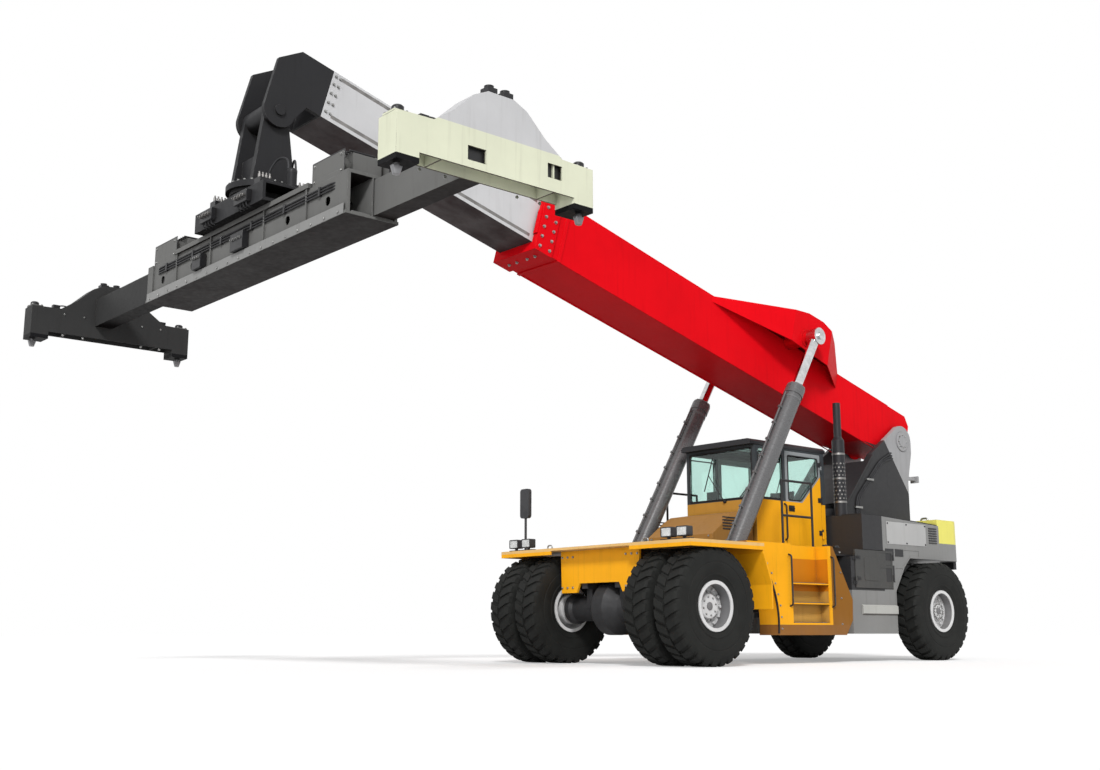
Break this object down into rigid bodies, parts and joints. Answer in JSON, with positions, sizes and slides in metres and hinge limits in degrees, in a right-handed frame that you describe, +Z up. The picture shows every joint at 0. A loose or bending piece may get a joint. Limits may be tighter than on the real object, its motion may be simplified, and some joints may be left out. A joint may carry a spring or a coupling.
{
  "type": "reach stacker",
  "caption": "Reach stacker with a two-part telescopic boom on lift cylinders, a slewing and side-shifting container spreader, twin front wheels and steered rear wheels.",
  "frame": {"origin": "on the ground below the middle of the front axle, which is the middle of the overall box", "axes": "+X forward, +Y to the left, +Z up"},
  "size_m": [14.7398, 9.74, 7.8365],
  "materials": {
    "frame_black": "satin dark paint",
    "body_yellow": "gloss orange yellow paint",
    "axle_grey": "painted castings",
    "engine_grey": "painted casting",
    "rear_grey": "satin grey paint",
    "hood_dark": "satin dark paint",
    "tower_grey": "satin grey paint",
    "cab_dark": "satin dark paint",
    "glass": "pale green tinted glass",
    "seat_fabric": "woven cover",
    "plastic_black": "moulded plastic",
    "lamp_housing": "moulded housings with clear lenses",
    "boom_red": "gloss red paint",
    "cylinder_grey": "satin dark paint",
    "chrome": "hard chrome",
    "boom_white": "satin pale grey paint",
    "spreader_grey": "satin dark grey paint",
    "end_white": "satin pale grey paint",
    "lock_steel": "forged steel",
    "tyre": "solid black rubber",
    "rim_white": "satin white paint",
    "door_grey": "satin dark grey paint"
  },
  "bodies": {
    "chassis": {"chassis_frame": "frame_black", "front_deck": "body_yellow", "front_cover": "body_yellow", "drive_axle": "axle_grey", "steer_axle": "axle_grey", "counterweight": "rear_grey", "tow_block": "rear_grey", "engine_block": "engine_grey", "engine_hood": "hood_dark", "compartments": "rear_grey", "side_bodies": "body_yellow", "walkways": "frame_black", "boom_tower": "tower_grey", "cab_body": "body_yellow", "cab_roof": "cab_dark", "cab_glass": "glass", "seat": "seat_fabric", "steering_console": "plastic_black", "exhaust": "frame_black", "mirror_arm": "plastic_black", "lamps": "lamp_housing"},
    "boom": {"outer_boom": "boom_red"},
    "lift_tubes": {"lift_tubes": "cylinder_grey"},
    "lift_rods": {"lift_rods": "chrome"},
    "inner_boom": {"inner_boom": "boom_white", "boom_head": "spreader_grey"},
    "yoke": {"hang_yoke": "spreader_grey"},
    "rotator": {"rotator": "spreader_grey"},
    "main_beam": {"main_beam": "spreader_grey", "power_pack": "spreader_grey"},
    "beam_left": {"beam_left": "end_white"},
    "beam_right": {"beam_right": "end_white"},
    "lock_left_front": {"lock_left_front": "lock_steel"},
    "lock_left_rear": {"lock_left_rear": "lock_steel"},
    "lock_right_front": {"lock_right_front": "lock_steel"},
    "lock_right_rear": {"lock_right_rear": "lock_steel"},
    "wheels_front_left": {"front_tyres_left": "tyre", "front_rims_left": "rim_white"},
    "wheels_front_right": {"front_tyres_right": "tyre", "front_rims_right": "rim_white"},
    "knuckle_left": {"knuckle_left": "axle_grey"},
    "knuckle_right": {"knuckle_right": "axle_grey"},
    "wheel_rear_left": {"rear_tyre_left": "tyre", "rear_rim_left": "rim_white"},
    "wheel_rear_right": {"rear_tyre_right": "tyre", "rear_rim_right": "rim_white"},
    "cab_door_left": {"cab_door_left": "body_yellow", "door_glass_left": "glass"},
    "cab_door_right": {"cab_door_right": "body_yellow", "door_glass_right": "glass"},
    "side_door_left": {"side_door_left": "door_grey"},
    "side_door_right": {"side_door_right": "door_grey"}
  },
  "joints": [
    {"name": "boom_lift", "type": "hinge", "parent": "chassis", "child": "boom", "pos_m": [-6.8, 0, 3.95], "axis": [0, 1, 0], "range_deg": [-45, 15]},
    {"name": "lift_tube_swing", "type": "hinge", "parent": "chassis", "child": "lift_tubes", "pos_m": [-1.12, 0, 1.1], "axis": [0, 1, 0], "range_deg": [-3.5, 1.2]},
    {"name": "lift_rod_slide", "type": "slide", "parent": "lift_tubes", "child": "lift_rods", "axis": [-0.5218, 0, 0.853], "range_m": [-0.847, 2.54]},
    {"name": "telescope", "type": "slide", "parent": "boom", "child": "inner_boom", "axis": [0.9659, 0, 0.2588], "range_m": [-3.3, 3]},
    {"name": "yoke_hang", "type": "hinge", "parent": "inner_boom", "child": "yoke", "pos_m": [6.14983, 0, 6.94988], "axis": [0, 1, 0], "range_deg": [-15, 45]},
    {"name": "slew", "type": "hinge", "parent": "yoke", "child": "rotator", "pos_m": [6.14983, 0, 6.94988], "axis": [0, 0, 1], "range_deg": [-195, 105]},
    {"name": "side_shift", "type": "slide", "parent": "rotator", "child": "main_beam", "axis": [0, 1, 0], "range_m": [-0.8, 0.8]},
    {"name": "extend_left", "type": "slide", "parent": "main_beam", "child": "beam_left", "axis": [0, 1, 0], "range_m": [-1.82, 1.23]},
    {"name": "extend_right", "type": "slide", "parent": "main_beam", "child": "beam_right", "axis": [0, -1, 0], "range_m": [-1.82, 1.23]},
    {"name": "turn_lock_left_front", "type": "hinge", "parent": "beam_left", "child": "lock_left_front", "pos_m": [7.27933, 4.7465, 4.70988], "axis": [0, 0, 1], "range_deg": [0, 90]},
    {"name": "turn_lock_left_rear", "type": "hinge", "parent": "beam_left", "child": "lock_left_rear", "pos_m": [5.02033, 4.7465, 4.70988], "axis": [0, 0, 1], "range_deg": [0, 90]},
    {"name": "turn_lock_right_front", "type": "hinge", "parent": "beam_right", "child": "lock_right_front", "pos_m": [7.27933, -4.7465, 4.70988], "axis": [0, 0, 1], "range_deg": [0, 90]},
    {"name": "turn_lock_right_rear", "type": "hinge", "parent": "beam_right", "child": "lock_right_rear", "pos_m": [5.02033, -4.7465, 4.70988], "axis": [0, 0, 1], "range_deg": [0, 90]},
    {"name": "spin_front_left", "type": "hinge", "parent": "chassis", "child": "wheels_front_left", "pos_m": [0, 1.5, 0.83], "axis": [0, 1, 0], "continuous": true},
    {"name": "steer_left", "type": "hinge", "parent": "chassis", "child": "knuckle_left", "pos_m": [-6.24, 1.05, 0.83], "axis": [0, 0, 1], "range_deg": [-50, 50]},
    {"name": "spin_rear_left", "type": "hinge", "parent": "knuckle_left", "child": "wheel_rear_left", "pos_m": [-6.24, 1.4, 0.83], "axis": [0, 1, 0], "continuous": true},
    {"name": "cab_door_left_hinge", "type": "hinge", "parent": "chassis", "child": "cab_door_left", "pos_m": [-4.12, 0.764, 2.5], "axis": [0, 0, 1], "range_deg": [0, 95]},
    {"name": "side_door_left_hinge", "type": "hinge", "parent": "chassis", "child": "side_door_left", "pos_m": [-4.05, 1.444, 1.3], "axis": [0, 0, -1], "range_deg": [0, 100]},
    {"name": "spin_front_right", "type": "hinge", "parent": "chassis", "child": "wheels_front_right", "pos_m": [0, -1.5, 0.83], "axis": [0, 1, 0], "continuous": true},
    {"name": "steer_right", "type": "hinge", "parent": "chassis", "child": "knuckle_right", "pos_m": [-6.24, -1.05, 0.83], "axis": [0, 0, 1], "range_deg": [-50, 50]},
    {"name": "spin_rear_right", "type": "hinge", "parent": "knuckle_right", "child": "wheel_rear_right", "pos_m": [-6.24, -1.4, 0.83], "axis": [0, 1, 0], "continuous": true},
    {"name": "cab_door_right_hinge", "type": "hinge", "parent": "chassis", "child": "cab_door_right", "pos_m": [-4.12, -0.764, 2.5], "axis": [0, 0, -1], "range_deg": [0, 95]},
    {"name": "side_door_right_hinge", "type": "hinge", "parent": "chassis", "child": "side_door_right", "pos_m": [-4.05, -1.444, 1.3], "axis": [0, 0, 1], "range_deg": [0, 100]}
  ],
  "couplings": [
    {"joint": "lift_tube_swing", "follows": "boom_lift", "ratio": 0.0753},
    {"joint": "lift_rod_slide", "follows": "boom_lift", "m_per_rad": -3.2312},
    {"joint": "yoke_hang", "follows": "boom_lift", "ratio": -1},
    {"joint": "extend_right", "follows": "extend_left", "ratio": 1},
    {"joint": "turn_lock_left_rear", "follows": "turn_lock_left_front", "ratio": 1},
    {"joint": "turn_lock_right_front", "follows": "turn_lock_left_front", "ratio": 1},
    {"joint": "turn_lock_right_rear", "follows": "turn_lock_left_front", "ratio": 1},
    {"joint": "steer_right", "follows": "steer_left", "ratio": 1}
  ]
}
